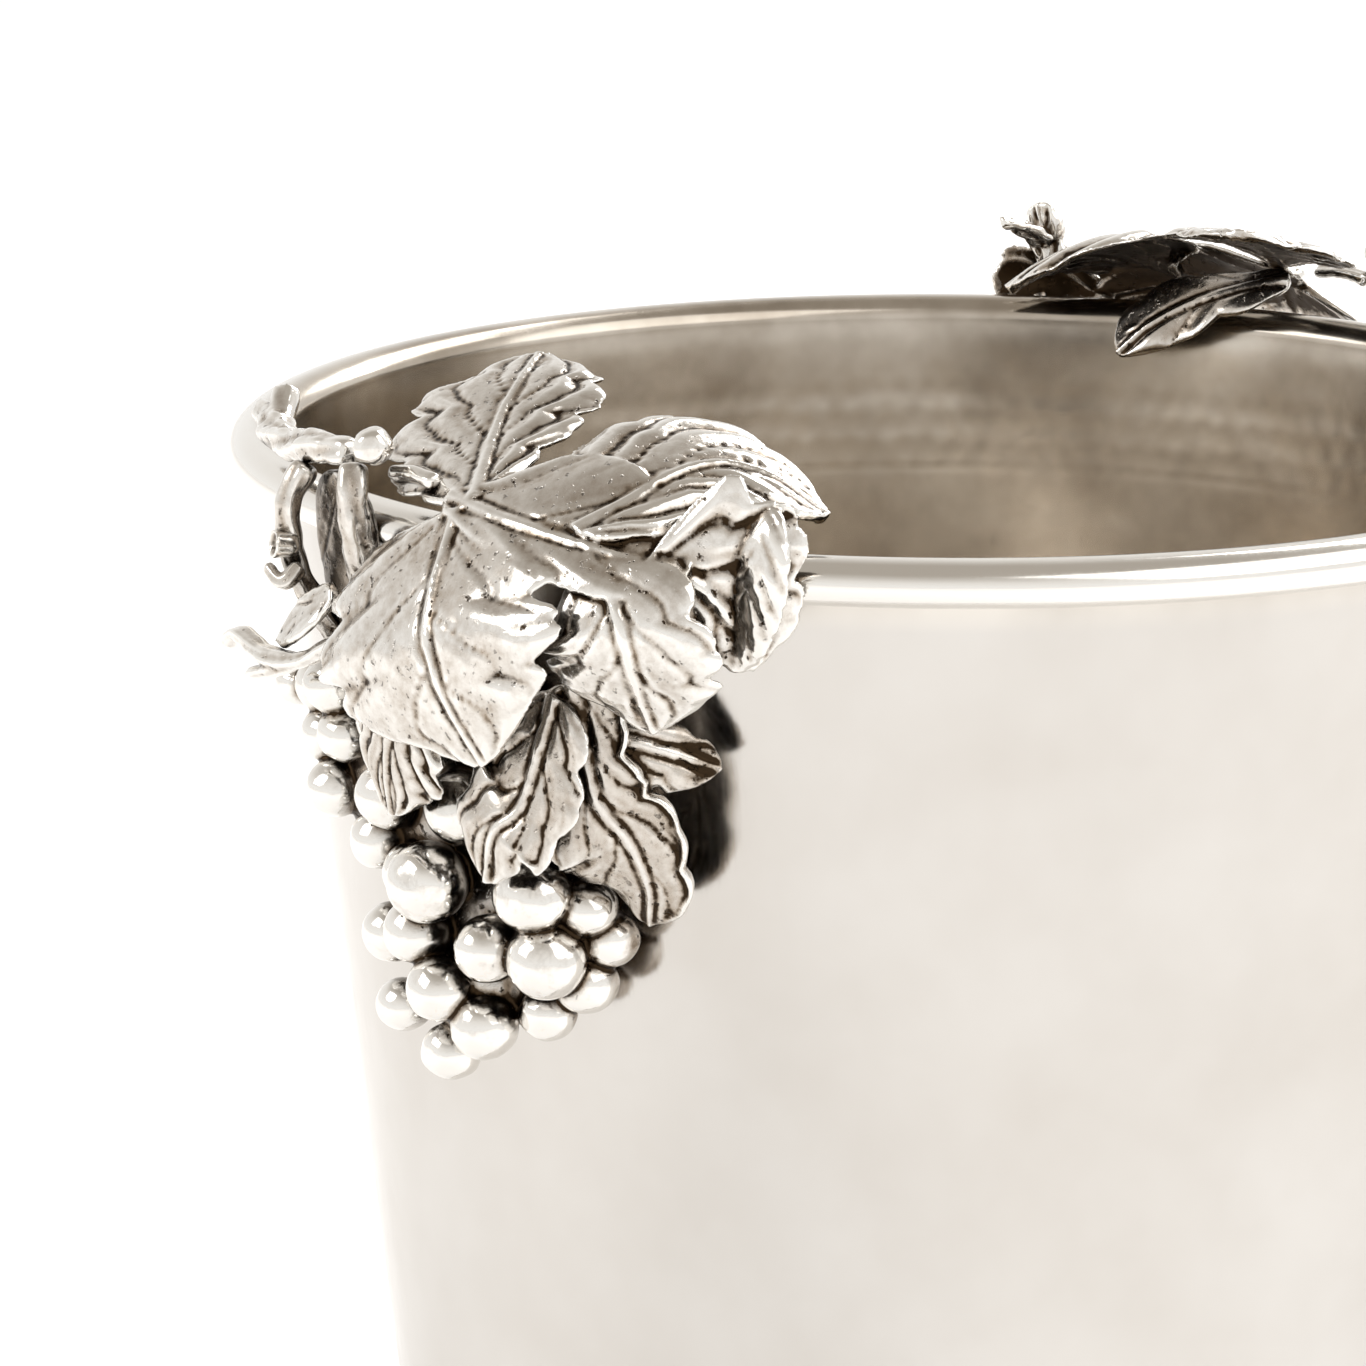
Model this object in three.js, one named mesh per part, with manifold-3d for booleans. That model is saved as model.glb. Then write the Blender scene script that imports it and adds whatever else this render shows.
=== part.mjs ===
// Champagne bucket: a tapered raised bowl with a rolled rim and two cast grapevine handles.
// Millimetres, +Z up, origin at the centre of the underside; the handles sit at -X and +X.
import * as THREE from 'three';
import { LoftGeometry } from 'three/addons/geometries/LoftGeometry.js';
import { mergeVertices } from 'three/addons/utils/BufferGeometryUtils.js';
import Module from 'manifold-3d';

const wasm = await Module();
wasm.setup();

// Driving dimensions of the bucket.
const RIM_DIAMETER = 240;
const HEIGHT = 225;
const BASE_DIAMETER = 176;
const SHEET = 1.4;
const ROLL_WIDTH = 9.6;
const ROLL_HEIGHT = 7.6;
const FLARE_DEPTH = 17;
const FOOT_HEIGHT = 8;
const FOOT_WIDTH = 7;
const FOOT_FLARE = 3;
const BASE_THICKNESS = 1.6;
const WIRE_RADIUS = 2;
const GAP = 0.3;

// The right handle is soldered on this many degrees past the point opposite the left one.
const RIGHT_HANDLE_SKEW = 6;

const ROUND = { segments: 48, roll: 10, hollow: 6, wire: 6, moulding: 5 };
const TUBE_SIDES = 6;
const STEPS_PER_POINT = 2;
const BERRY_SIDES = { around: 7, down: 5 };

// Values that follow from the driving dimensions.
const rimRadius = RIM_DIAMETER / 2;
const rollCentre = new THREE.Vector2(rimRadius - ROLL_WIDTH / 2, HEIGHT - ROLL_HEIGHT / 2);
const wallTopRadius = rimRadius - ROLL_WIDTH + SHEET;
const wallFoot = FOOT_HEIGHT + GAP;
const wallFootRadius = BASE_DIAMETER / 2;
const taper = (wallTopRadius - wallFootRadius) / (rollCentre.y - wallFoot);
const outerWall = (z) => wallFootRadius + taper * (z - wallFoot);

// Finishes: the polished sheet, the cast ornament and the darker metal in its recesses.
const FINISH = {
  polished: { color: 0xd9d4ce, roughness: 0.12, metalness: 1 },
  satin: { color: 0xb8b0a4, roughness: 0.35, metalness: 1 },
  cast: { color: 0xc9c3b8, roughness: 0.22, metalness: 1 },
  oxidised: { color: 0xa39a8c, roughness: 0.32, metalness: 1 },
};

function meshOf(name, geometry, finish) {
  const mesh = new THREE.Mesh(geometry, new THREE.MeshStandardMaterial(FINISH[finish]));
  mesh.name = name;
  return mesh;
}

// ---- solids -------------------------------------------------------------------------------

function solidOf(geometry) {
  const bare = new THREE.BufferGeometry();
  bare.setAttribute('position', geometry.getAttribute('position'));
  if (geometry.index) bare.setIndex(geometry.index);
  const merged = mergeVertices(bare, 1e-4);
  return new wasm.Manifold(new wasm.Mesh({
    numProp: 3,
    vertProperties: merged.attributes.position.array,
    triVerts: new Uint32Array(merged.index.array),
  }));
}

function geometryOf(solid) {
  const mesh = solid.getMesh();
  const geometry = new THREE.BufferGeometry();
  geometry.setAttribute('position', new THREE.BufferAttribute(mesh.vertProperties, 3));
  geometry.setIndex(new THREE.BufferAttribute(mesh.triVerts, 1));
  geometry.computeVertexNormals();
  return geometry;
}

function union(solids) {
  return solids.reduce((whole, next) => whole.add(next));
}

// A closed profile of [radius, height] points, listed so that its faces look outwards.
function turned(profile, segments = ROUND.segments) {
  const points = profile.map(([radius, height]) => new THREE.Vector2(radius, height));
  if (points[0].x > 0) points.push(points[0].clone());
  return new THREE.LatheGeometry(points, segments).rotateX(Math.PI / 2);
}

// Points on an ellipse from one angle to another, both in degrees.
function ellipseArc(centre, halfWidth, halfHeight, from, to, steps) {
  return Array.from({ length: steps + 1 }, (_, i) => {
    const angle = THREE.MathUtils.degToRad(from + ((to - from) * i) / steps);
    return [centre.x + halfWidth * Math.cos(angle), centre.y + halfHeight * Math.sin(angle)];
  });
}

// ---- the bucket ---------------------------------------------------------------------------

// The sheet rises to the rim, rolls outwards round the wire and stops just short of itself.
const ROLL_END = -140;

function bucketWall() {
  const half = { width: ROLL_WIDTH / 2, height: ROLL_HEIGHT / 2 };
  const flareStart = HEIGHT - FLARE_DEPTH;
  return turned([
    [outerWall(wallFoot), wallFoot],
    [outerWall(HEIGHT - ROLL_HEIGHT), HEIGHT - ROLL_HEIGHT],
    ...ellipseArc(rollCentre, half.width - SHEET, half.height - SHEET, 180, ROLL_END, ROUND.hollow),
    ...ellipseArc(rollCentre, half.width, half.height, ROLL_END, 180, ROUND.roll),
    [outerWall(flareStart) - SHEET, flareStart],
    [outerWall(wallFoot) - SHEET, wallFoot],
  ]);
}

function rimWire() {
  const step = 360 / ROUND.wire;
  return turned(ellipseArc(rollCentre, WIRE_RADIUS, WIRE_RADIUS, 0, 360 - step, ROUND.wire - 1));
}

function basePlate() {
  const top = wallFoot + BASE_THICKNESS;
  const edge = outerWall(wallFoot) - SHEET - GAP;
  return turned([[0, wallFoot], [edge, wallFoot], [edge, top], [0, top]]);
}

// A half-round moulding standing on a flat ring.
function footRing() {
  const outer = wallFootRadius + FOOT_FLARE;
  const inner = outer - FOOT_WIDTH;
  const middle = new THREE.Vector2(outer - FOOT_FLARE, FOOT_HEIGHT / 2);
  return turned([
    [inner, 0],
    ...ellipseArc(middle, FOOT_FLARE, FOOT_HEIGHT / 2, -90, 90, ROUND.moulding),
    [inner, FOOT_HEIGHT],
  ]);
}

// The room the bucket takes up round its rim, with the soldering gap, cut from every casting.
function bucketKeepOut() {
  const half = { width: ROLL_WIDTH / 2 + GAP, height: ROLL_HEIGHT / 2 + GAP };
  return solidOf(turned([
    [outerWall(wallFoot) + GAP, wallFoot],
    [outerWall(HEIGHT - ROLL_HEIGHT) + GAP, HEIGHT - ROLL_HEIGHT],
    ...ellipseArc(rollCentre, half.width, half.height, ROLL_END, 180, ROUND.roll),
    [outerWall(wallFoot) - SHEET - GAP, wallFoot],
  ]));
}

// ---- shapes of the castings ---------------------------------------------------------------

// The castings were laid out against a rim of this radius and a wall that starts and tapers so.
// On a bucket of other sizes they keep their own size and move with its rim and wall.
const LAID_OUT = { rimRadius: 120, wallRadius: 112.22, taper: 0.1118, belowRoll: 20 };

// An angle of the layout on this bucket's rim: lengths along the rim stay as they were.
function turnOf(angle) {
  return THREE.MathUtils.degToRad((angle * LAID_OUT.rimRadius) / rimRadius);
}

// How far outwards the layout moves at a height: with the rim at the top, with the wall lower down.
function shiftAt(height) {
  const withRim = rimRadius - LAID_OUT.rimRadius;
  const withWall = outerWall(HEIGHT + height) - (LAID_OUT.wallRadius + LAID_OUT.taper * height);
  const share = THREE.MathUtils.clamp(-height / LAID_OUT.belowRoll, 0, 1);
  return THREE.MathUtils.lerp(withRim, withWall, share);
}

// Castings are laid out round the bucket: [angle from the handle's middle, distance from the
// bucket's axis, height above the rim], in degrees and millimetres.
function place([angle, distance, height]) {
  const turn = turnOf(angle);
  const radius = distance + shiftAt(height);
  return new THREE.Vector3(radius * Math.cos(turn), radius * Math.sin(turn), HEIGHT + height);
}

// A direction in the same layout: along the rim, outwards and up, at the given angle.
function direction([along, out, up], angle) {
  const turn = turnOf(angle);
  return new THREE.Vector3(
    out * Math.cos(turn) - along * Math.sin(turn),
    out * Math.sin(turn) + along * Math.cos(turn),
    up,
  ).normalize();
}

// The value at t (0 to 1) of a list of evenly spaced values.
function sample(values, t) {
  const at = t * (values.length - 1);
  const low = Math.min(Math.floor(at), values.length - 2);
  return THREE.MathUtils.lerp(values[low], values[low + 1], at - low);
}

// A round stem through points, with evenly spaced radii; grow makes it larger all over.
function stem({ points, radii }, grow = 0) {
  const curve = new THREE.CatmullRomCurve3(points.map(place));
  const steps = STEPS_PER_POINT * (points.length - 1);
  const frames = curve.computeFrenetFrames(steps);
  const sections = Array.from({ length: steps + 1 }, (_, i) => {
    const end = i === 0 ? -grow : (i === steps) * grow;
    const centre = curve.getPointAt(i / steps).addScaledVector(frames.tangents[i], end);
    const radius = sample(radii, i / steps) + grow;
    return Array.from({ length: TUBE_SIDES }, (_, j) => {
      const angle = (j / TUBE_SIDES) * Math.PI * 2;
      return centre.clone()
        .addScaledVector(frames.normals[i], radius * Math.cos(angle))
        .addScaledVector(frames.binormals[i], radius * Math.sin(angle));
    });
  });
  return solidOf(new LoftGeometry(sections, { capStart: true, capEnd: true }));
}

// One lobe of a leaf: a midrib, the width to either side of it along its length, the way its
// upper face looks at either end, and how far its edges droop.
const LEAF_THICKNESS = 2;
const EDGE_THINNING = 0.5;
const LOBE_STEPS = 7;
const LOBE_ACROSS = [-1, -0.55, 0, 0.55, 1];

function lobe({ midrib, left, right, faces, droop, thickness = LEAF_THICKNESS }, grow = 0) {
  const curve = new THREE.CatmullRomCurve3(midrib.map(place));
  const angles = midrib.map(([angle]) => angle);
  const sections = Array.from({ length: LOBE_STEPS + 1 }, (_, i) => {
    const t = i / LOBE_STEPS;
    const tangent = curve.getTangentAt(t);
    const end = i === 0 ? -grow : (i === LOBE_STEPS) * grow;
    const centre = curve.getPointAt(t).addScaledVector(tangent, end);
    const [first, last] = faces.map((face) => direction(face, sample(angles, t)));
    const facing = first.lerp(last, t);
    const across = new THREE.Vector3().crossVectors(facing, tangent).normalize();
    const upper = new THREE.Vector3().crossVectors(tangent, across);
    const layer = (side) => LOBE_ACROSS.map((u) => {
      const width = u < 0 ? sample(left, t) : sample(right, t);
      const thin = 1 - EDGE_THINNING * u * u;
      const rise = side * ((thin * thickness) / 2 + grow) - droop * u * u * width;
      return centre.clone()
        .addScaledVector(across, -u * (width + grow))
        .addScaledVector(upper, rise);
    });
    return [...layer(1), ...layer(-1).reverse()];
  });
  return solidOf(new LoftGeometry(sections, { capStart: true, capEnd: true }));
}

// A leaf fused from its lobes; onRight holds what differs on the right handle.
function leaf(lobes, grow = 0, side = 'left') {
  return union(lobes.map(({ onRight, ...shape }) => {
    const changes = side === 'right' ? onRight : {};
    return lobe({ ...shape, ...changes }, grow);
  }));
}

function stems(shapes, grow = 0) {
  return union(shapes.map((shape) => stem(shape, grow)));
}

function berry([angle, radius, height, size], grow = 0) {
  const { x, y, z } = place([angle, radius, height]);
  const ball = new THREE.SphereGeometry(size + grow, BERRY_SIDES.around, BERRY_SIDES.down);
  return solidOf(ball.rotateX(Math.PI / 2).translate(x, y, z));
}

function bunch(grow = 0) {
  return union([lobe(BUNCH_CORE, grow), ...BERRIES.map((shape) => berry(shape, grow))]);
}

// ---- the castings of one handle -----------------------------------------------------------

// The cane lies along the rim. One end is cut off across a fork, the other runs into the leaf.
const CANE = {
  points: [[-29, 116, 6.4], [-26, 117.4, 5.4], [-20, 120.4, 6], [-14, 122, 8], [-9, 122, 8.4]],
  radii: [3, 2.7, 2.4, 2.6, 2.4],
};
const CANE_PRONGS = [
  { points: [[-27.6, 116.8, 6], [-29.4, 114.6, 8.2], [-30.6, 113.4, 10]], radii: [2.4, 2.3, 2.2] },
  { points: [[-27.6, 116.8, 6], [-30.4, 116.4, 6.2], [-32.4, 116.4, 6.4]], radii: [2.4, 2.3, 2.1] },
];
const CANE_KNOB = {
  points: [[-6.4, 122, 9.6], [-5.2, 124.6, 11.2], [-4, 127.4, 11.6]],
  radii: [2, 3, 2.6],
};
const TWIG_ARCH = {
  points: [[-5, 121, 6.6], [-2.6, 121.4, 7.4], [-0.8, 122, 7.2], [0.6, 122.4, 7]],
  radii: [1.9, 1.8, 1.8, 1.7],
};

// The stems that the bunch hangs from, the web of metal behind them and the stubs left on them.
const BUNCH_STEM = {
  points: [[-7.4, 124.6, 8], [-6.8, 126, 2], [-6.9, 125, -5.6], [-7.6, 121, -17]],
  radii: [2.4, 2.6, 2.2, 2],
};
const STEM_WEB = {
  midrib: [[-11.4, 121.4, 5], [-11.4, 120, -8], [-11.2, 118, -24]],
  left: [8, 9, 9], right: [8, 9, 9],
  faces: [[0, 1, 0], [0, 1, 0]], droop: 0.05,
};
const SIDE_STEM = {
  points: [[-14.2, 123.4, 5.4], [-15, 126, -1], [-15.2, 125.4, -8.6], [-15.2, 122, -16.8], [-13.6, 118, -25]],
  radii: [2, 2.2, 1.9, 2, 2],
};
const CUT_SPUR = { points: [[-14.2, 125.4, -7.6], [-14.6, 129.6, -7]], radii: [1.9, 2.2] };
const CURLED_SPUR = {
  points: [[-13.6, 125.6, -10.4], [-14, 128.6, -13], [-15.8, 129.2, -11]],
  radii: [1.5, 1.3, 1],
};

// Tendrils that curl away to the side.
const LONG_TENDRIL = {
  points: [
    [-6.1, 130, -18.9], [-9.8, 131, -23.5], [-14.1, 131.5, -24.5], [-18.5, 131, -23.2], [-21.3, 130.4, -26],
  ],
  radii: [1.7, 2, 2.1, 1.9, 1.7],
};
const TENDRIL_PRONG = {
  points: [[-9.8, 130.8, -23.6], [-13, 131.2, -26.4], [-17, 131, -28.6]],
  radii: [1.5, 1.6, 1.5],
};
const FLAT_TENDRIL = {
  midrib: [[-8.1, 127.4, -12.4], [-10.7, 129, -17.2], [-13.8, 129.6, -22.6]],
  left: [2.6, 4.2, 1.6], right: [2.6, 3.8, 1.6],
  faces: [[-0.4, 1, 0.3], [-0.4, 1, 0.3]], droop: 0.1,
};

// The large leaf: a blade along its main vein, the five lobes that spring from it and the
// rolled edge of the last. onRight is how a lobe differs on the right handle.
const LARGE_LEAF = [
  {
    midrib: [[2.4, 124, 5.4], [9, 128, 4], [16, 130.5, 2], [23, 130, -1]],
    left: [3, 15, 16, 8], right: [3, 6, 8, 6],
    faces: [[0, 0.7, 1], [0, 0.8, 0.8]], droop: 0,
    onRight: {
      midrib: [[2.4, 124, 5.4], [9, 128, 3], [16, 130.5, 0.6], [22, 129, -2.4]],
      left: [3, 13, 12, 6],
    },
  },
  {
    midrib: [[5, 125, 5.6], [-0.9, 106, 13.3], [-4.2, 96, 17.4], [-8.6, 86, 19.7]],
    left: [6, 14, 17, 15, 8], right: [3, 8, 13, 13, 8],
    faces: [[0, 0.7, 1], [0, 0.1, 1]], droop: 0.1,
    onRight: { midrib: [[4, 122, 8], [3.6, 115, 12], [1.4, 102, 15.6], [-2.6, 86, 19]] },
  },
  {
    midrib: [
      [14.4, 129, 4], [17.4, 124, 8], [19.2, 117, 11], [22, 110.4, 12], [26, 107.6, 9.6], [30.4, 107, 4],
    ],
    left: [5, 14, 18, 17, 11, 3], right: [4, 8, 9, 9, 8, 3],
    faces: [[0.1, 0.25, 1], [0.6, 0.1, 0.8]], droop: 0.16,
    onRight: {
      midrib: [
        [14.4, 129, 3], [17.4, 124, 6], [19.2, 117, 8.6],
        [21.6, 110.6, 9.4], [25, 107.6, 6.6], [28, 106.6, 2.4],
      ],
    },
  },
  {
    midrib: [[4, 126, 4], [5, 134, -5], [6, 139, -13], [7.4, 139, -22], [9.4, 136, -32]],
    left: [9, 18, 21, 22, 19, 11], right: [20, 26, 28, 28, 24, 13],
    faces: [[-0.2, 1, 0.7], [-0.2, 1, -0.1]], droop: 0.16,
  },
  {
    midrib: [[16, 131, 1], [18.6, 135, -5], [19.6, 136, -11], [19.8, 132, -19], [20, 127, -26]],
    left: [5, 10, 12, 12, 6], right: [6, 12, 14, 13, 6],
    faces: [[0.1, 1, 0.6], [0, 1, -0.3]], droop: 0.18,
  },
  {
    midrib: [[20, 130, 1], [23.4, 128, -3], [25.4, 124, -10], [26, 119, -17]],
    left: [12, 17, 15, 9, 4], right: [4, 6, 7, 6, 3],
    faces: [[0.3, 1, 0.3], [0.4, 1, -0.1]], droop: -0.1,
    onRight: { midrib: [[20, 129, -2], [23.4, 128, -6], [25.4, 124, -12], [26, 119, -19]] },
  },
  {
    midrib: [[27.6, 124, 9], [27.6, 127, 5], [27.2, 127.6, -1], [26.2, 125.4, -9], [24.8, 121.4, -17]],
    left: [3, 5, 5.6, 4.6, 2.4], right: [4, 6.4, 6.6, 5, 2.6],
    faces: [[-0.5, 1, 0.2], [-0.3, 1, 0.1]], droop: 0.3,
    onRight: {
      midrib: [[26, 124, -1], [26.4, 126.6, -4], [26.2, 126.6, -8], [25.6, 123.4, -14], [24.4, 119.4, -21]],
    },
  },
];

const LOWER_LEAF = [
  {
    midrib: [[12.4, 127, -22], [10.4, 128.6, -38.8], [8.3, 130, -44.3], [7.3, 129, -52.8]],
    left: [7, 8, 9, 8, 3], right: [6, 9, 12, 10, 4],
    faces: [[-0.2, 1, 0.3], [-0.2, 1, 0]], droop: 0.12,
  },
  {
    midrib: [
      [13.4, 126, -20], [14.6, 124.4, -37], [16.8, 121, -45.6], [17.4, 117, -53.4], [16.6, 113, -60.4],
    ],
    left: [8, 8, 9, 8, 4], right: [7, 8, 11, 12, 5],
    faces: [[0.2, 1, 0.3], [0.1, 1, 0]], droop: 0.12,
  },
  {
    midrib: [[12.4, 126, -28], [16, 122.6, -29], [19.4, 118.4, -31.4], [22.6, 113.6, -34.6]],
    left: [3, 4, 4, 3], right: [3, 5, 6, 3],
    faces: [[0.2, 1, 0.3], [0.4, 1, 0.2]], droop: 0.12,
  },
];

const SIDE_LEAF = [
  {
    midrib: [[0.4, 130, -24], [-1.2, 129, -31], [-2.4, 127.4, -38], [-3, 125.4, -46.4]],
    left: [9, 12, 12, 6], right: [9, 12, 12, 6],
    faces: [[-0.2, 1, 0.1], [-0.2, 1, 0]], droop: 0.15,
  },
];

// The leaf that hangs over the rim into the bowl.
const INNER_LEAF = [
  {
    midrib: [[0, 111, 7], [4.6, 108.4, 4.6], [9, 105.4, 1.6], [12.8, 102.6, -2.4], [16, 100.4, -7.6]],
    left: [3, 5, 6, 5, 3], right: [4, 6, 8, 8, 6],
    faces: [[0, -0.4, 1], [0.3, -0.9, 0.5]], droop: 0.15,
  },
];

// A narrow leaf tip, bent up and rolled over, that only the right handle has.
const UPTURNED_TIP = [
  {
    midrib: [[24.6, 121, 3], [25.4, 122, 9.6], [26, 122, 16.4]],
    left: [2.4, 3.4, 4], right: [2.4, 3.4, 4],
    faces: [[0.2, -1, 0], [0.2, -1, 0]], droop: 0.2,
  },
  {
    midrib: [[25.2, 121.8, 9], [27, 117.6, 12.4], [29, 113.4, 13.8]],
    left: [2.6, 2.4, 1.2], right: [2.6, 2.4, 1.2],
    faces: [[0.4, 0, 1], [0.4, 0, 1]], droop: 0.4,
  },
];

// The solid metal behind the berries, which follows the wall.
const BUNCH_CORE = {
  midrib: [[-2, 114.6, -22], [-2, 114, -42], [0, 112, -62], [-1, 112.4, -84]],
  left: [22, 29, 21, 7], right: [26, 31, 22, 14],
  faces: [[0, 1, 0], [0, 1, 0]], droop: 0.15, thickness: 8,
};

// Berries: [angle, distance from the axis, height, radius], front of the bunch first.
const BERRIES = [
  [-1.3, 122, -57.4, 6.7], [8.4, 121, -56.4, 6.2], [9.2, 119.6, -66.8, 6.2], [4, 120, -66.6, 5.6],
  [-1, 120, -75, 5.5], [-3.9, 119, -66.9, 5.7], [2.4, 117.4, -80.4, 5.5], [-2.6, 114.6, -87, 4.9],
  [-8.1, 115, -81.6, 4.6], [-9.6, 117, -54.6, 5.2], [-9.2, 115.4, -70, 5], [-15.6, 117.4, -48.6, 5.2],
  [-13.6, 117.6, -39, 5], [-18, 116, -41, 4.9], [-18.6, 116.4, -33, 4.9], [-14.4, 119, -31, 5.2],
  [11.6, 115.4, -58.6, 5], [10.6, 112.8, -71.6, 5], [12.6, 112, -64, 4.8], [7, 113, -77.6, 4.8],
  [1.6, 113, -74, 5.2], [-7, 119, -46, 5.8], [1, 119, -45, 6], [8.6, 116, -46, 5.8],
  [13.6, 114, -40, 5.6], [-7.6, 118, -34, 5.6], [-21.8, 117.4, -34, 4.2], [-5, 118, -58, 5],
];

function webbedStem(grow = 0) {
  return stem(BUNCH_STEM, grow).add(lobe(STEM_WEB, grow));
}

// Every casting of a handle, in the order in which they cut into each other.
const CASTINGS = [
  { name: 'vine_cane', finish: 'cast', make: (grow) => stems([CANE, ...CANE_PRONGS], grow) },
  { name: 'leaf_large', finish: 'cast', make: (grow, side) => leaf(LARGE_LEAF, grow, side) },
  { name: 'cane_knob', finish: 'cast', make: (grow) => stem(CANE_KNOB, grow) },
  { name: 'twig_arch', finish: 'cast', make: (grow) => stem(TWIG_ARCH, grow) },
  { name: 'bunch_stem', finish: 'oxidised', make: webbedStem },
  { name: 'side_stem', finish: 'oxidised', make: (grow) => stem(SIDE_STEM, grow) },
  { name: 'cut_spur', finish: 'cast', make: (grow) => stem(CUT_SPUR, grow) },
  { name: 'curled_spur', finish: 'oxidised', make: (grow) => stem(CURLED_SPUR, grow) },
  { name: 'tendril_long', finish: 'cast', make: (grow) => stems([LONG_TENDRIL, TENDRIL_PRONG], grow) },
  { name: 'tendril_flat', finish: 'cast', make: (grow) => lobe(FLAT_TENDRIL, grow) },
  { name: 'leaf_lower', finish: 'oxidised', make: (grow) => leaf(LOWER_LEAF, grow) },
  { name: 'leaf_side', finish: 'oxidised', make: (grow) => leaf(SIDE_LEAF, grow) },
  { name: 'leaf_inner', finish: 'oxidised', make: (grow) => leaf(INNER_LEAF, grow) },
  { name: 'leaf_tip_upturned', finish: 'cast', only: 'right', make: (grow) => leaf(UPTURNED_TIP, grow) },
  { name: 'grape_bunch', finish: 'cast', make: bunch },
];

// ---- assembly -----------------------------------------------------------------------------

function bucket() {
  const group = new THREE.Group();
  group.add(
    meshOf('bucket_wall', bucketWall(), 'polished'),
    meshOf('rim_wire', rimWire(), 'satin'),
    meshOf('base_plate', basePlate(), 'satin'),
    meshOf('foot_ring', footRing(), 'polished'),
  );
  return group;
}

function handle(side, turn) {
  const group = new THREE.Group();
  let taken = bucketKeepOut();
  for (const { name, finish, only, make } of CASTINGS) {
    if (only && only !== side) continue;
    const solid = make(0, side).subtract(taken);
    taken = taken.add(make(GAP, side));
    group.add(meshOf(`${side}_${name}`, geometryOf(solid), finish));
  }
  group.rotation.z = THREE.MathUtils.degToRad(turn);
  return group;
}

const champagneBucket = new THREE.Group();
champagneBucket.add(bucket(), handle('left', 180), handle('right', RIGHT_HANDLE_SKEW));

export default champagneBucket;
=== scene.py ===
"""Silver champagne bucket with cast grapevine handles: the visual model, its materials and studio."""
import math

import bpy
import numpy as np
from mathutils import Matrix, Vector


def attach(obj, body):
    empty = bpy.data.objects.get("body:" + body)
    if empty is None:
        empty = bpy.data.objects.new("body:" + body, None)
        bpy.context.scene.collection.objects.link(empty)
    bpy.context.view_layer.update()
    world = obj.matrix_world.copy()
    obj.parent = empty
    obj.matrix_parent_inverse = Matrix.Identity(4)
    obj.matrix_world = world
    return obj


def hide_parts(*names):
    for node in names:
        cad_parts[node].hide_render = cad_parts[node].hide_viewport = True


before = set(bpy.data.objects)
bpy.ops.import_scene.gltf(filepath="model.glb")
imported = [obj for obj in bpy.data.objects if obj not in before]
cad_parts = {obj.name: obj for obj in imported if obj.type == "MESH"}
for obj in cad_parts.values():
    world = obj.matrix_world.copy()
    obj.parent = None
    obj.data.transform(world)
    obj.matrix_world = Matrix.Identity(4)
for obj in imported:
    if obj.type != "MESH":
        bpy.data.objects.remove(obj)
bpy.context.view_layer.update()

MM = 0.001

# ---- sizes, in millimetres, as the CAD has them --------------------------------------------

HEIGHT = 225.0
RIM_RADIUS = 120.0
ROLL_WIDTH = 9.6
ROLL_HEIGHT = 7.6
SHEET = 1.4
FOOT_HEIGHT = 8.0
FOOT_WIDTH = 7.0
FOOT_FLARE = 3.0
BASE_RADIUS = 88.0
BASE_THICKNESS = 1.6
WIRE_RADIUS = 2.0
FLARE_DEPTH = 17.0
GAP = 0.3
ROLL_CENTRE = (RIM_RADIUS - ROLL_WIDTH / 2, HEIGHT - ROLL_HEIGHT / 2)
WALL_FOOT = FOOT_HEIGHT + GAP
TAPER = (RIM_RADIUS - ROLL_WIDTH + SHEET - BASE_RADIUS) / (ROLL_CENTRE[1] - WALL_FOOT)

HANDLES = {"left": 180.0, "right": 6.0}


def outer_wall(z):
    return BASE_RADIUS + TAPER * (z - WALL_FOOT)


# ---- camera and lights ----------------------------------------------------------------------

CAMERA_AZIMUTH = -50.0
CAMERA_ELEVATION = 10.96
CAMERA_DISTANCE = 1080.0
CAMERA_AIM = (-36.2, 26.8, 180.6)
CAMERA_ROLL = 0.13
FOCAL_LENGTH = 169.5


def add_camera():
    azimuth = math.radians(CAMERA_AZIMUTH)
    elevation = math.radians(CAMERA_ELEVATION)
    away = Vector((math.sin(azimuth) * math.cos(elevation),
                   -math.cos(azimuth) * math.cos(elevation),
                   math.sin(elevation)))
    place = Vector((0.0, 0.0, HEIGHT)) + away * CAMERA_DISTANCE
    data = bpy.data.cameras.new("camera")
    data.lens = FOCAL_LENGTH
    data.sensor_width = 36.0
    data.clip_end = 50.0
    camera = bpy.data.objects.new("camera", data)
    look = (Vector(CAMERA_AIM) - place).to_track_quat("-Z", "Y")
    roll = Matrix.Rotation(math.radians(-CAMERA_ROLL), 4, "Z")
    camera.matrix_world = Matrix.Translation(place * MM) @ look.to_matrix().to_4x4() @ roll
    bpy.context.scene.collection.objects.link(camera)
    bpy.context.scene.camera = camera


def add_area_light(name, place, aim, size, power):
    """A white rectangular light; place, aim and size are in metres."""
    data = bpy.data.lights.new(name, "AREA")
    data.shape = "RECTANGLE"
    data.size, data.size_y = size
    data.energy = power
    light = bpy.data.objects.new(name, data)
    turn = (Vector(aim) - Vector(place)).to_track_quat("-Z", "Y").to_matrix().to_4x4()
    light.matrix_world = Matrix.Translation(Vector(place)) @ turn
    bpy.context.scene.collection.objects.link(light)


# ---- meshes -----------------------------------------------------------------------------------

def link_mesh(name, points, faces, material):
    """A smooth mesh object from points in millimetres."""
    mesh = bpy.data.meshes.new(name)
    mesh.from_pydata((np.asarray(points) * MM).tolist(), [], faces)
    mesh.validate()
    mesh.update()
    mesh.polygons.foreach_set("use_smooth", [True] * len(mesh.polygons))
    mesh.materials.append(material)
    piece = bpy.data.objects.new(name, mesh)
    bpy.context.scene.collection.objects.link(piece)
    return piece


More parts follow.
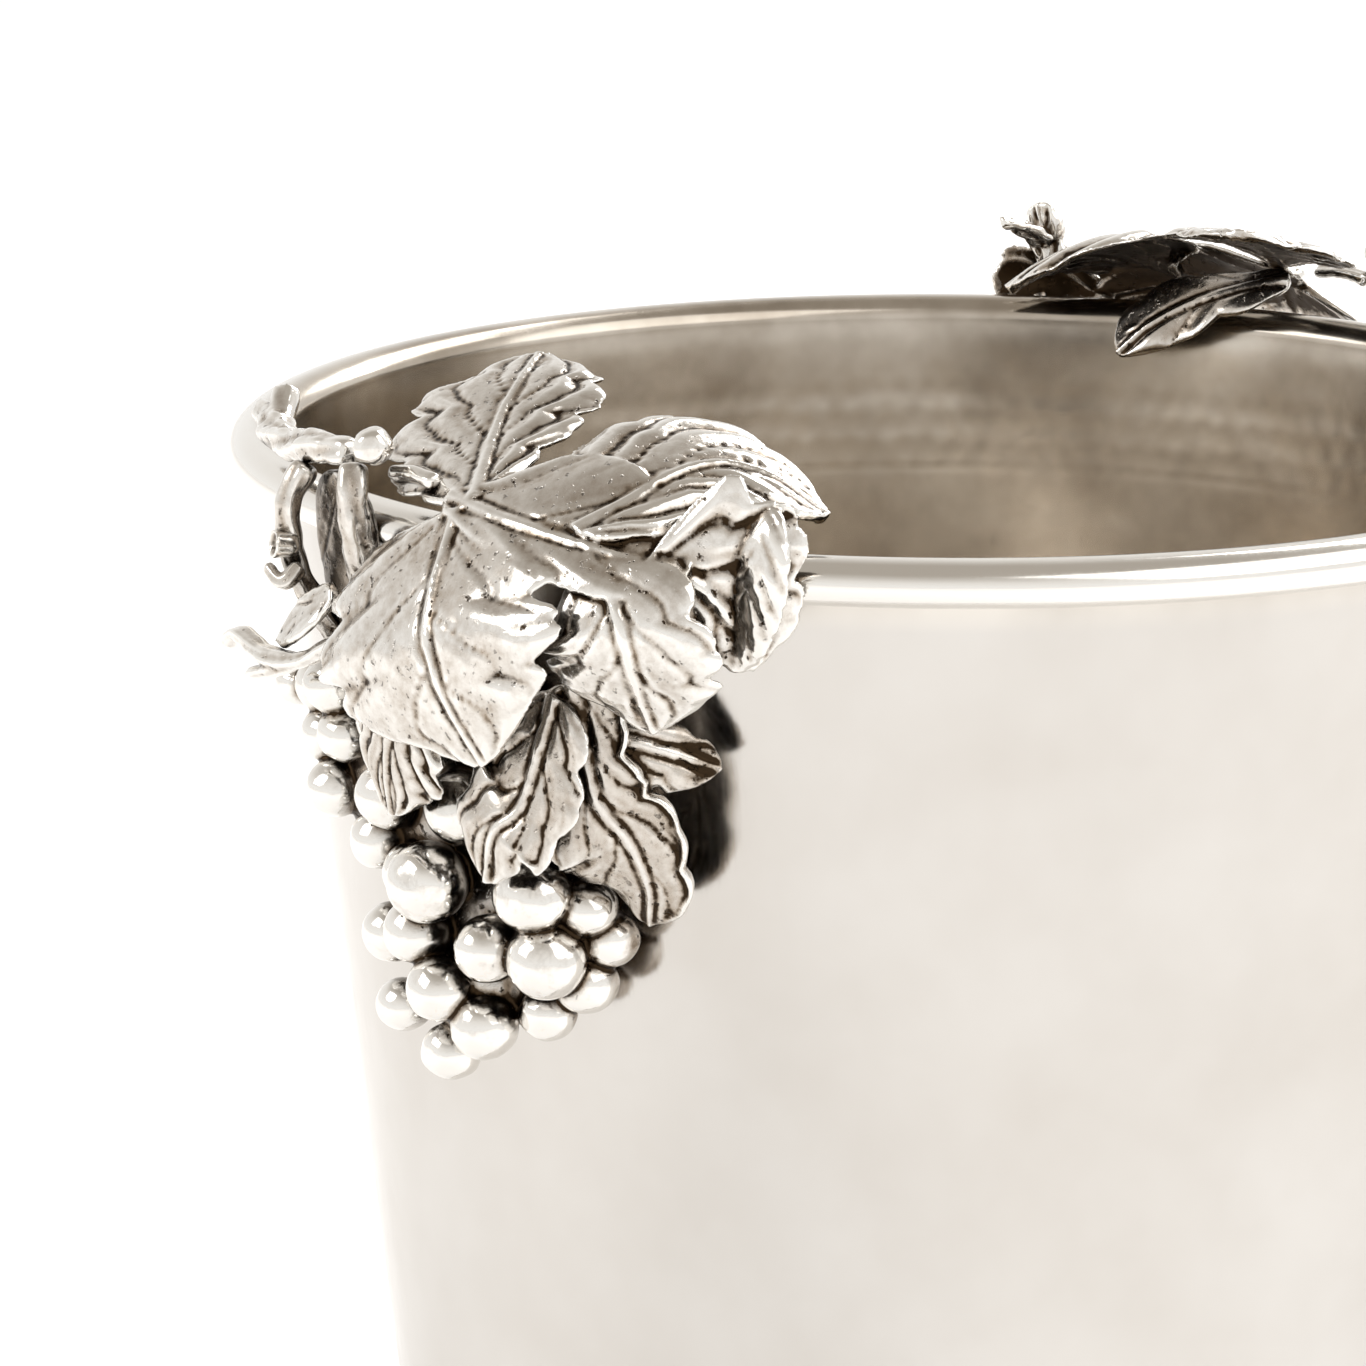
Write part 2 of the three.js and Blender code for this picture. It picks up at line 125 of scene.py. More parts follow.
def grid_faces(rows, columns, wrap_rows=False, wrap_columns=False, flip=False):
    """Quads over a grid of points, row by row."""
    faces = []
    for i in range(rows if wrap_rows else rows - 1):
        for j in range(columns if wrap_columns else columns - 1):
            a = i * columns + j
            b = i * columns + (j + 1) % columns
            c = ((i + 1) % rows) * columns + (j + 1) % columns
            d = ((i + 1) % rows) * columns + j
            faces.append((a, d, c, b) if flip else (a, b, c, d))
    return faces


def mesh_points(mesh):
    flat = np.empty(len(mesh.vertices) * 3, dtype=np.float32)
    mesh.vertices.foreach_get("co", flat)
    return flat.reshape(-1, 3)


def mesh_normals(mesh):
    flat = np.empty(len(mesh.vertices) * 3, dtype=np.float32)
    mesh.vertex_normals.foreach_get("vector", flat)
    return flat.reshape(-1, 3)


def set_mesh_points(mesh, points):
    mesh.vertices.foreach_set("co", points.astype(np.float32).ravel())
    mesh.update()


def set_attribute(mesh, name, values):
    attribute = mesh.attributes.new(name, "FLOAT", "POINT")
    attribute.data.foreach_set("value", values.astype(np.float32))


def fuse(piece, voxel, smoothing):
    """One skin over all the shells of a piece, with its creases a little softened."""
    remesh = piece.modifiers.new("fuse", "REMESH")
    remesh.mode = "VOXEL"
    remesh.voxel_size = voxel * MM
    soften = piece.modifiers.new("soften", "SMOOTH")
    soften.factor = 0.5
    soften.iterations = smoothing
    depsgraph = bpy.context.evaluated_depsgraph_get()
    fused = bpy.data.meshes.new_from_object(piece.evaluated_get(depsgraph))
    fused.polygons.foreach_set("use_smooth", [True] * len(fused.polygons))
    piece.modifiers.clear()
    old = piece.data
    fused.name = old.name
    piece.data = fused
    bpy.data.meshes.remove(old)


def neighbour_mean(values, edges, count):
    """The mean of each vertex's neighbours, for each column of values."""
    a, b = edges[:, 0], edges[:, 1]
    degree = np.bincount(a, minlength=count) + np.bincount(b, minlength=count)
    columns = [
        np.bincount(a, weights=column[b], minlength=count)
        + np.bincount(b, weights=column[a], minlength=count)
        for column in values.T
    ]
    return np.stack(columns, axis=1) / np.maximum(degree, 1)[:, None]


def mark_recesses(mesh, rounds=(3, 12, 40), gains=(1.0, 0.8, 0.5)):
    """An attribute, above zero in hollows and below it on ridges, from the surface's own shape."""
    points = mesh_points(mesh).astype(np.float64) / MM
    normals = mesh_normals(mesh)
    flat = np.empty(len(mesh.edges) * 2, dtype=np.int64)
    mesh.edges.foreach_get("vertices", flat)
    edges = flat.reshape(-1, 2)
    smoothed = points.copy()
    depth = np.zeros(len(points))
    done = 0
    for target, gain in zip(rounds, gains):
        while done < target:
            smoothed = 0.5 * smoothed + 0.5 * neighbour_mean(smoothed, edges, len(points))
            done += 1
        depth += gain * np.einsum("ij,ij->i", smoothed - points, normals)
    set_attribute(mesh, "oxide_and_shade", depth)


def darken(mesh, amount):
    """Add to the recess attribute, which the cast-metal shader turns into darker, browner colour: oxide in
    hollows, and painted shade where callers add it for shade.
    """
    oxide_and_shade = np.empty(len(mesh.vertices), np.float32)
    values = mesh.attributes["oxide_and_shade"].data
    values.foreach_get("value", oxide_and_shade)
    values.foreach_set("value", (oxide_and_shade + amount).astype(np.float32))


# darkening added where a casting lies close to the wall
WALL_SIDE_DARKENING = 0.28
# painted shade added to the downward and inward faces of the large leaf above the rim
BACK_SHADE = 0.3


def darken_near_wall(mesh):
    """The metal is made darker where the casting lies within about 10 mm of the wall, up to a little above
    the rim.
    """
    spots = mesh_points(mesh).astype(np.float64) / MM
    heights = spots[:, 2]
    clearance = np.hypot(spots[:, 0], spots[:, 1]) - outer_wall(np.minimum(heights, HEIGHT))
    near = smoothstep(10.5, 7.5, clearance) * smoothstep(-2.0, 0.0, clearance)
    darken(mesh, WALL_SIDE_DARKENING * near * smoothstep(HEIGHT + 7, HEIGHT + 3, heights))


def paint_shade_on_backs(mesh):
    """Above the rim, the backs of the leaf's lobes, facing down or in towards the axis, get painted shade."""
    spots = mesh_points(mesh).astype(np.float64) / MM
    normals = mesh_normals(mesh)
    radius = np.hypot(spots[:, 0], spots[:, 1])
    outwards = (normals[:, 0] * spots[:, 0] + normals[:, 1] * spots[:, 1]) / radius
    shaded_back = smoothstep(-0.05, -0.4, np.minimum(normals[:, 2], outwards + 0.3))
    darken(mesh, BACK_SHADE * shaded_back * smoothstep(HEIGHT - 4, HEIGHT, spots[:, 2]))


# ---- curves -------------------------------------------------------------------------------------

def place(spots):
    """Points laid out round a handle: angle in degrees, distance from the axis, height over the rim."""
    spots = np.asarray(spots, dtype=float)
    turn = np.radians(spots[:, 0])
    return np.stack([spots[:, 1] * np.cos(turn), spots[:, 1] * np.sin(turn), HEIGHT + spots[:, 2]], axis=1)


def spline(points, count):
    """A Catmull-Rom curve through points, sampled at even steps along its length."""
    points = np.asarray(points, dtype=float)
    if points.ndim == 1:
        points = points[:, None]
    ends = np.vstack([2 * points[0] - points[1], points, 2 * points[-1] - points[-2]])
    fine = []
    for i in range(len(points) - 1):
        p0, p1, p2, p3 = ends[i:i + 4]
        t = np.linspace(0, 1, 24, endpoint=False)[:, None]
        fine.append(0.5 * (2 * p1 + (p2 - p0) * t + (2 * p0 - 5 * p1 + 4 * p2 - p3) * t ** 2
                           + (3 * p1 - p0 - 3 * p2 + p3) * t ** 3))
    fine = np.vstack(fine + [points[-1:]])
    length = np.concatenate([[0], np.cumsum(np.linalg.norm(np.diff(fine, axis=0), axis=1))])
    at = np.linspace(0, length[-1], count)
    return np.stack([np.interp(at, length, column) for column in fine.T], axis=1)


def profile(values, count):
    """Evenly spaced values, joined by a smooth curve."""
    steps = np.linspace(0, len(values) - 1, count)
    low = np.clip(steps.astype(int), 0, len(values) - 2)
    part = steps - low
    padded = np.concatenate([[values[0]], values, [values[-1]]])
    p0, p1, p2, p3 = (padded[low + k] for k in range(4))
    curve = 0.5 * (2 * p1 + (p2 - p0) * part + (2 * p0 - 5 * p1 + 4 * p2 - p3) * part ** 2
                   + (3 * p1 - p0 - 3 * p2 + p3) * part ** 3)
    return np.maximum(curve, 0)


def normalised(vectors):
    return vectors / np.maximum(np.linalg.norm(vectors, axis=-1, keepdims=True), 1e-9)


def smoothstep(low, high, values):
    """0 up to low, 1 from high on, and smooth between; high may be the smaller."""
    t = np.clip((values - low) / (high - low), 0, 1)
    return t * t * (3 - 2 * t)


# ---- shapes of the castings ---------------------------------------------------------------------

def facing_along(faces, angles, share):
    """Which way a lobe's upper face looks, from its root to its tip."""
    turn = np.radians(angles)
    out = np.stack([np.cos(turn), np.sin(turn), np.zeros_like(turn)], axis=1)
    along = np.stack([-np.sin(turn), np.cos(turn), np.zeros_like(turn)], axis=1)
    up = np.array([0.0, 0.0, 1.0])
    first, last = (normalised(a * along + b * out + c * up) for a, b, c in faces)
    return normalised(first * (1 - share[:, None]) + last * share[:, None])


def ripple(points, wavelength, seed, waves=7):
    """A smooth uneven value between -1 and 1 all through space."""
    rng = np.random.default_rng(seed)
    total = np.zeros(len(points))
    for _ in range(waves):
        way = rng.normal(size=3)
        way *= rng.uniform(0.7, 1.5) / np.linalg.norm(way)
        total += np.sin(points @ way * 2 * math.pi / wavelength + rng.uniform(0, 2 * math.pi))
    return total / waves ** 0.5 / 1.4


def vein_relief(side, s, width, length, look):
    """Height of the upper face over one half of a lobe, side running from 0 at the midrib to 1."""
    phase = look["veins"] * (s - look["lean"] * side ** 0.85) + look["shift"]
    phase = phase + 0.1 * np.sin(2.3 * phase + 9 * look["shift"])
    off = np.abs(phase - np.round(phase))
    spacing = length / look["veins"] / (1 + look["lean"])
    groove = np.exp(-(spacing * off / 0.38) ** 2) * smoothstep(0.03, 0.1, side) * (1 - 0.5 * side)
    lips = np.exp(-((spacing * off - 0.85) / 0.5) ** 2) * smoothstep(0.03, 0.1, side)
    half_off = np.abs(phase - 0.5 - np.round(phase - 0.5))
    fine = np.exp(-(spacing * half_off / 0.3) ** 2) * smoothstep(0.5, 0.85, side)
    fold = np.cos(2 * math.pi * off) * smoothstep(0.05, 0.7, side)
    across = side * width
    slim = 1 - 0.5 * s
    rib = np.exp(-(across / (1.0 * slim)) ** 2)
    beside = np.exp(-((across - 1.7 * slim) / 0.45) ** 2)
    return (-0.5 * look["fold"] * fold - look["groove"] * groove + 0.25 * look["groove"] * lips
            - 0.4 * look["groove"] * fine + look["rib"] * slim * rib - look["rib"] * beside)


LOOK = {"veins": 4.0, "lean": 0.5, "shift": 0.3, "fold": 0.5, "groove": 0.5, "rib": 0.45, "open": None,
        "tooth": 0.15, "curl_left": 0.0, "curl_right": 0.0, "curl_from": 0.6}
LOBE_THICKNESS = 1.9
ALONG_STEP = 0.35
ACROSS_COUNT = 67


def lobe(midrib, left, right, faces, droop, thickness=LOBE_THICKNESS, **changes):
    """A closed shell: a midrib, the width to either side along it, and the way its face looks."""
    look = {**LOOK, **changes}
    spots = np.asarray(midrib, dtype=float)
    rough = place(spots)
    length = np.linalg.norm(np.diff(rough, axis=0), axis=1).sum()
    count = max(int(length / ALONG_STEP), 12)
    curve = spline(np.hstack([rough, spots[:, :1]]), count)
    centre, angles = curve[:, :3], curve[:, 3]
    s = np.linspace(0, 1, count)
    tangent = normalised(np.gradient(centre, axis=0))
    across = normalised(np.cross(facing_along(faces, angles, s), tangent))
    upper = np.cross(tangent, across)

    spread = np.sin(np.linspace(-1, 1, ACROSS_COUNT) * math.pi / 2)
    side = np.abs(spread)[None, :]
    s_grid = np.broadcast_to(s[:, None], (count, ACROSS_COUNT))
    rows = []
    for values, curl, shift in ((left, look["curl_left"], 0.0), (right, look["curl_right"], 0.37)):
        width = profile(values, count)
        tip = max(width[-1] * 1.6, 1.5) / length
        close = np.sqrt(np.clip(1 - (np.clip(s - (1 - tip), 0, None) / tip) ** 2, 0.0, 1))
        start = (look["open"] or max(width[0] * 0.8, 1.0)) / length
        open_up = np.sqrt(np.clip(1 - (np.clip(start - s, 0, None) / start) ** 2, 0.0, 1))
        half = {**look, "shift": look["shift"] + shift}
        edge_phase = look["veins"] * (s - look["lean"]) + half["shift"]
        teeth = look["tooth"] * (1.3 * np.abs(np.cos(math.pi * edge_phase)) - 0.7)
        fine_teeth = 0.55 * look["tooth"] * np.abs(np.sin(2 * math.pi * edge_phase))
        width = width * (1 + (teeth + fine_teeth) * smoothstep(0.04, 0.2, s)) * close * open_up + 0.02
        steps = np.broadcast_to(side, (count, ACROSS_COUNT))
        bend = np.arctan(2 * droop * steps) + curl * smoothstep(look["curl_from"], 1.0, steps)
        rows.append((width, bend, vein_relief(steps, s_grid, width[:, None], length, half)))

    middle = ACROSS_COUNT // 2
    flat = np.zeros((count, ACROSS_COUNT))
    rise = np.zeros((count, ACROSS_COUNT))
    relief = np.zeros((count, ACROSS_COUNT))
    lean_over = np.zeros((count, ACROSS_COUNT))
    for sign, (width, bend, height) in zip((1, -1), rows):
        order = np.arange(middle, -1, -1) if sign > 0 else np.arange(middle, ACROSS_COUNT)
        reach = np.abs(spread)[order]
        gap = np.diff(reach, prepend=0)
        angle = bend[:, order]
        flat[:, order] = sign * np.cumsum(np.cos(angle) * gap, axis=1) * width[:, None]
        rise[:, order] = -np.cumsum(np.sin(angle) * gap, axis=1) * width[:, None]
        relief[:, order] = height[:, order]
        lean_over[:, order] = sign * angle
    shell = np.sqrt(np.clip(1 - np.abs(spread) ** 8, 0, 1)) * (1 - 0.3 * spread ** 2)
    half_thick = 0.5 * thickness * shell[None, :]
    fade = smoothstep(0, 0.25, shell)[None, :]
    normal_flat, normal_rise = np.sin(lean_over), np.cos(lean_over)

    def layer(offset):
        x = flat + normal_flat * offset
        z = rise + normal_rise * offset
        return (centre[:, None, :] + across[:, None, :] * x[..., None] + upper[:, None, :] * z[..., None])

    top = layer(half_thick + relief * fade)
    bottom = layer(-half_thick + 0.55 * relief * fade)
    ring = np.concatenate([top, bottom[:, ::-1]], axis=1)
    points = ring.reshape(-1, 3)
    columns = 2 * ACROSS_COUNT
    faces_out = grid_faces(count, columns, wrap_columns=True, flip=True)
    faces_out.append(tuple(range(columns)))
    faces_out.append(tuple(reversed(range((count - 1) * columns, count * columns))))
    return points, faces_out


TUBE_SIDES = 28
TUBE_STEP = 0.4


def tube(points, radii, seed=1, knots=0.08, flat=1.0, cut=False):
    """A round, knotty stem. Both ends are rounded, or with cut the last one is cut off and dished."""
    rough = place(points)
    length = np.linalg.norm(np.diff(rough, axis=0), axis=1).sum()
    count = max(int(length / TUBE_STEP), 14)
    centre = spline(rough, count)
    s = np.linspace(0, 1, count)
    radius = profile(radii, count)
    tangent = normalised(np.gradient(centre, axis=0))
    side = np.cross(tangent[0], [0.0, 0.0, 1.0])
    sides = []
    for way in tangent:
        side = side - way * (side @ way)
        side = side / np.linalg.norm(side)
        sides.append(side)
    sides = np.array(sides)
    others = np.cross(tangent, sides)
    end = (s if cut else np.minimum(s, 1 - s)) * length / radius
    close = np.sqrt(np.clip(1 - np.clip(1 - end, 0, 1) ** 4, 0.0, 1)) + 0.01
    turn = np.linspace(0, 2 * math.pi, TUBE_SIDES, endpoint=False)
    rng = np.random.default_rng(seed)
    bark = sum(np.sin(k * turn[None, :] + rng.uniform(0, 6) + s[:, None] * length * rng.uniform(0.1, 0.5))
               for k in (2, 3, 5)) * knots
    wave = 1 + knots * np.sin(s * length * 0.9 + rng.uniform(0, 6)) * np.sin(s * length * 0.37)
    reach = (radius * close * wave)[:, None] * (1 + bark)
    ring = (centre[:, None, :] + sides[:, None, :] * (reach * np.cos(turn))[..., None]
            + others[:, None, :] * (reach * flat * np.sin(turn))[..., None])
    if cut:
        rim, heart = ring[-1], centre[-1]
        dish = [heart + (rim - heart) * share - tangent[-1] * depth
                for share, depth in ((0.8, 0.05), (0.62, 0.6), (0.2, 0.9))]
        ring = np.concatenate([ring, np.array(dish)])
        count += len(dish)
    points_out = ring.reshape(-1, 3)
    faces_out = grid_faces(count, TUBE_SIDES, wrap_columns=True)
    faces_out.append(tuple(reversed(range(TUBE_SIDES))))
    faces_out.append(tuple(range((count - 1) * TUBE_SIDES, count * TUBE_SIDES)))
    return points_out, faces_out


GRAPE_RINGS = 22
GRAPE_SIDES = 32


def grape(spot, size, seed):
    """A slightly uneven and flattened ball."""
    rng = np.random.default_rng(seed)
    rings, around = GRAPE_RINGS, GRAPE_SIDES
    polar = np.linspace(0.02, math.pi - 0.02, rings)
    turn = np.linspace(0, 2 * math.pi, around, endpoint=False)
    unit = np.stack([np.outer(np.sin(polar), np.cos(turn)), np.outer(np.sin(polar), np.sin(turn)),
                     np.outer(np.cos(polar), np.ones(around))], axis=-1).reshape(-1, 3)
    half_sizes = size * rng.uniform([0.95, 0.95, 0.9], [1.05, 1.05, 1.02])
    lumps = 1 + 0.02 * ripple(unit * 3 + seed, 3.0, seed)
    points = place([spot])[0] + unit * half_sizes * lumps[:, None]
    faces_out = grid_faces(rings, around, wrap_columns=True, flip=True)
    faces_out.append(tuple(range(around)))
    faces_out.append(tuple(reversed(range((rings - 1) * around, rings * around))))
    return points, faces_out


def joined(shells):
    """Several shells as one list of points and one of faces."""
    points, faces = [], []
    start = 0
    for shell_points, shell_faces in shells:
        points.append(shell_points)
        faces.extend(tuple(index + start for index in face) for face in shell_faces)
        start += len(shell_points)
    return np.vstack(points), faces


# ---- the castings of one handle -------------------------------------------------------------------

CANE = ([[-29, 116, 6.4], [-26, 117.4, 5.4], [-20, 120.4, 6], [-14, 122, 8], [-9, 122, 8.4]],
        [3.0, 2.7, 2.4, 2.6, 2.4])
CANE_PRONGS = [
    ([[-27.6, 116.8, 6], [-29.4, 114.6, 8.2], [-30.6, 113.4, 10]], [2.4, 2.3, 2.2]),
    ([[-27.6, 116.8, 6], [-30.4, 116.4, 6.2], [-32.4, 116.4, 6.4]], [2.4, 2.3, 2.1]),
]
CANE_KNOB = ([[-6.4, 122, 9.6], [-5.2, 124.6, 11.2], [-4, 127.4, 11.6]], [2, 3, 2.6])
TWIG_ARCH = ([[-5, 121, 6.6], [-2.6, 121.4, 7.4], [-0.8, 122, 7.2], [0.6, 122.4, 7]], [1.9, 1.8, 1.8, 1.7])
BUNCH_STEM = ([[-7.4, 124.6, 8], [-6.8, 126, 2], [-6.9, 125, -5.6], [-7.6, 121, -17]],
              [2.4, 2.6, 2.2, 2.0])
SIDE_STEM = ([[-14.2, 123.4, 5.4], [-15, 126, -1], [-15.2, 125.4, -8.6], [-15.2, 122, -16.8],
              [-13.6, 118, -25]], [2.0, 2.2, 1.9, 2.0, 2.0])
STEM_WEB = {
    "midrib": [[-11.4, 121.4, 5], [-11.4, 120, -8], [-11.2, 118, -24]],
    "left": [8, 9, 9], "right": [8, 9, 9], "faces": [[0, 1, 0], [0, 1, 0]], "droop": 0.05,
    "veins": 2.0, "tooth": 0.0, "fold": 0.3, "rib": 0.0, "groove": 0.2,
}
CUT_SPUR = ([[-14.2, 125.4, -7.6], [-14.6, 129.6, -7]], [1.9, 2.2])
CURLED_SPUR = ([[-13.6, 125.6, -10.4], [-14, 128.6, -13], [-15.8, 129.2, -11]], [1.5, 1.3, 1.0])
LONG_TENDRIL = ([[-6.1, 130, -18.9], [-9.8, 131, -23.5], [-14.1, 131.5, -24.5], [-18.5, 131, -23.2],
                 [-21.3, 130.4, -26]], [1.7, 2.0, 2.1, 1.9, 1.7])
TENDRIL_PRONG = ([[-9.8, 130.8, -23.6], [-13, 131.2, -26.4], [-17, 131, -28.6]], [1.5, 1.6, 1.5])

FLAT_TENDRIL = {
    "midrib": [[-8.1, 127.4, -12.4], [-10.7, 129, -17.2], [-13.8, 129.6, -22.6]],
    "left": [2.6, 4.2, 1.6], "right": [2.6, 3.8, 1.6],
    "faces": [[-0.4, 1, 0.3], [-0.4, 1, 0.3]], "droop": -0.2,
    "veins": 1.6, "tooth": 0.0, "fold": 0.3, "rib": 0.1,
}
LARGE_LEAF = [
    {"midrib": [[2.4, 124, 5.4], [9, 128, 4], [16, 130.5, 2], [23, 130, -1]],
     "left": [3, 15, 16, 8], "right": [3, 6, 8, 6],
     "faces": [[0, 0.7, 1], [0, 0.8, 0.8]], "droop": 0.0,
     "veins": 2.6, "lean": 0.5, "fold": 0.5, "tooth": 0.0, "shift": 0.1,
     "on_right": {"midrib": [[2.4, 124, 5.4], [9, 128, 3], [16, 130.5, 0.6], [22, 129, -2.4]],
                  "left": [3, 13, 12, 6]}},
    {"midrib": [[5, 125, 5.6], [-0.9, 106, 13.3], [-4.2, 96, 17.4], [-8.6, 86, 19.7]],
     "left": [6, 14, 17, 15, 8], "right": [3, 8, 13, 13, 8],
     "faces": [[0, 0.7, 1], [0, 0.1, 1]], "droop": 0.1, "veins": 4.4, "lean": 0.6, "fold": 0.9,
     "on_right": {"midrib": [[4, 122, 8], [3.6, 115, 12], [1.4, 102, 15.6], [-2.6, 86, 19]]}},
    {"midrib": [[14.4, 129, 4], [17.4, 124, 8], [19.2, 117, 11], [22, 110.4, 12], [26, 107.6, 9.6],
                [30.4, 107, 4]],
     "left": [5, 14, 18, 17, 11, 3], "right": [4, 8, 9, 9, 8, 3],
     "faces": [[0.1, 0.25, 1], [0.6, 0.1, 0.8]], "droop": 0.16,
     "veins": 4.2, "lean": 0.75, "fold": 0.9, "tooth": 0.07,
     "on_right": {"midrib": [[14.4, 129, 3], [17.4, 124, 6], [19.2, 117, 8.6], [21.6, 110.6, 9.4],
                             [25, 107.6, 6.6], [28, 106.6, 2.4]]}},
    {"midrib": [[4, 126, 4], [5, 134, -5], [6, 139, -13], [7.4, 139, -22], [9.4, 136, -32]],
     "left": [9, 18, 21, 22, 19, 11], "right": [20, 26, 28, 28, 24, 13],
     "faces": [[-0.2, 1, 0.7], [-0.2, 1, -0.1]], "droop": 0.16,
     "veins": 3.4, "lean": 0.5, "fold": 0.75, "open": 3.0, "groove": 0.3},
    {"midrib": [[16, 131, 1], [18.6, 135, -5], [19.6, 136, -11], [19.8, 132, -19], [20, 127, -26]],
     "left": [5, 10, 12, 12, 6], "right": [6, 12, 14, 13, 6],
     "faces": [[0.1, 1, 0.6], [0, 1, -0.3]], "droop": 0.18, "veins": 3.6, "lean": 0.55, "fold": 0.45},
    {"midrib": [[20, 130, 1], [23.4, 128, -3], [25.4, 124, -10], [26, 119, -17]],
     "left": [12, 17, 15, 9, 4], "right": [4, 6, 7, 6, 3],
     "faces": [[0.3, 1, 0.3], [0.4, 1, -0.1]], "droop": -0.1,
     "veins": 3.4, "fold": 0.8,
     "on_right": {"midrib": [[20, 129, -2], [23.4, 128, -6], [25.4, 124, -12], [26, 119, -19]]}},
    {"midrib": [[27.6, 124, 9], [27.6, 127, 5], [27.2, 127.6, -1], [26.2, 125.4, -9], [24.8, 121.4, -17]],
     "left": [3, 5, 5.6, 4.6, 2.4], "right": [4, 6.4, 6.6, 5, 2.6],
     "faces": [[-0.5, 1, 0.2], [-0.3, 1, 0.1]], "droop": 0.3,
     "on_right": {"midrib": [[26, 124, -1], [26.4, 126.6, -4], [26.2, 126.6, -8], [25.6, 123.4, -14],
                             [24.4, 119.4, -21]]},
     "veins": 6.0, "lean": 0.3, "fold": 0.4, "groove": 0.2, "rib": 0.0, "tooth": 0.05},
]
LOWER_LEAF = [
    {"midrib": [[12.4, 127, -22], [10.4, 128.6, -38.8], [8.3, 130, -44.3], [7.3, 129, -52.8]],
     "left": [7, 8, 9, 8, 3], "right": [6, 9, 12, 10, 4],
     "faces": [[-0.2, 1, 0.3], [-0.2, 1, 0]], "droop": 0.12, "veins": 3.8, "tooth": 0.14},
    {"midrib": [[13.4, 126, -20], [14.6, 124.4, -37], [16.8, 121, -45.6], [17.4, 117, -53.4],
                [16.6, 113, -60.4]],
     "left": [8, 8, 9, 8, 4], "right": [7, 8, 11, 12, 5],
     "faces": [[0.2, 1, 0.3], [0.1, 1, 0]], "droop": 0.12,
     "veins": 4.2, "tooth": 0.14, "curl_left": -1.9, "curl_from": 0.65},
    {"midrib": [[12.4, 126, -28], [16, 122.6, -29], [19.4, 118.4, -31.4], [22.6, 113.6, -34.6]],
     "left": [3, 4, 4, 3], "right": [3, 5, 6, 3],
     "faces": [[0.2, 1, 0.3], [0.4, 1, 0.2]], "droop": 0.12, "veins": 3.0, "fold": 0.5},
]
SIDE_LEAF = [
    {"midrib": [[0.4, 130, -24], [-1.2, 129, -31], [-2.4, 127.4, -38], [-3, 125.4, -46.4]],
     "left": [9, 12, 12, 6], "right": [9, 12, 12, 6],
     "faces": [[-0.2, 1, 0.1], [-0.2, 1, 0]], "droop": 0.15,
     "veins": 3.2, "lean": 0.95, "fold": 1.0, "tooth": 0.08},
]
INNER_LEAF = [
    {"midrib": [[0, 111, 7], [4.6, 108.4, 4.6], [9, 105.4, 1.6], [12.8, 102.6, -2.4],
                [16, 100.4, -7.6]],
     "left": [3, 5, 6, 5, 3], "right": [4, 6, 8, 8, 6],
     "faces": [[0, -0.4, 1], [0.3, -0.9, 0.5]], "droop": 0.15,
     "veins": 1.8, "fold": 1.1, "lean": 0.3, "tooth": 0.2, "groove": 0.3},
]
UPTURNED_TIP = [
    {"midrib": [[24.6, 121, 3], [25.4, 122, 9.6], [26, 122, 16.4]],
     "left": [2.4, 3.4, 4], "right": [2.4, 3.4, 4],
     "faces": [[0.2, -1, 0], [0.2, -1, 0]], "droop": 0.2, "veins": 2.4, "fold": 0.4},
    {"midrib": [[25.2, 121.8, 9], [27, 117.6, 12.4], [29, 113.4, 13.8]],
     "left": [2.6, 2.4, 1.2], "right": [2.6, 2.4, 1.2],
     "faces": [[0.4, 0, 1], [0.4, 0, 1]], "droop": 0.4, "veins": 2.0, "fold": 0.3},
]
BUNCH_CORE = {
    "midrib": [[-2, 114.6, -22], [-2, 114, -42], [0, 112, -62], [-1, 112.4, -84]],
    "left": [22, 29, 21, 7], "right": [26, 31, 22, 14],
    "faces": [[0, 1, 0], [0, 1, 0]], "droop": 0.15, "thickness": 8,
    "tooth": 0.0, "fold": 0.0, "groove": 0.0, "rib": 0.0,
}
# Grapes: angle, distance from the axis, height and radius, front of the bunch first.
GRAPES = [
    [-1.3, 122, -57.4, 6.7], [8.4, 121, -56.4, 6.2], [9.2, 119.6, -66.8, 6.2], [4, 120, -66.6, 5.6],
    [-1, 120, -75, 5.5], [-3.9, 119, -66.9, 5.7], [2.4, 117.4, -80.4, 5.5], [-2.6, 114.6, -87, 4.9],
    [-8.1, 115, -81.6, 4.6], [-9.6, 117, -54.6, 5.2], [-9.2, 115.4, -70, 5], [-15.6, 117.4, -48.6, 5.2],
    [-13.6, 117.6, -39, 5.0], [-18, 116, -41, 4.9], [-18.6, 116.4, -33, 4.9], [-14.4, 119, -31, 5.2],
    [11.6, 115.4, -58.6, 5], [10.6, 112.8, -71.6, 5], [12.6, 112, -64, 4.8], [7, 113, -77.6, 4.8],
    [1.6, 113, -74, 5.2], [-7, 119, -46, 5.8], [1, 119, -45, 6], [8.6, 116, -46, 5.8],
    [13.6, 114, -40, 5.6], [-7.6, 118, -34, 5.6], [-21.8, 117.4, -34, 4.2], [-5, 118, -58, 5],
]


def leaf(lobes, side="left"):
    """The lobes of a leaf; a lobe may lie differently on the right handle."""
    shells = []
    for i, shape in enumerate(lobes):
        shape = {"shift": 0.3 + 0.17 * i, **shape}
        changes = shape.pop("on_right", {})
        shells.append(lobe(**{**shape, **(changes if side == "right" else {})}))
    return shells


def cane():
    prongs = [tube(*prong, seed=30 + i, knots=0.05, cut=True) for i, prong in enumerate(CANE_PRONGS)]
    return [tube(*CANE, seed=3)] + prongs


def tendril():
    return [tube(*LONG_TENDRIL, seed=10, flat=0.7), tube(*TENDRIL_PRONG, seed=12, flat=0.7)]


def bunch():
    return [lobe(**BUNCH_CORE)] + [grape(spot[:3], spot[3], 11 + i) for i, spot in enumerate(GRAPES)]


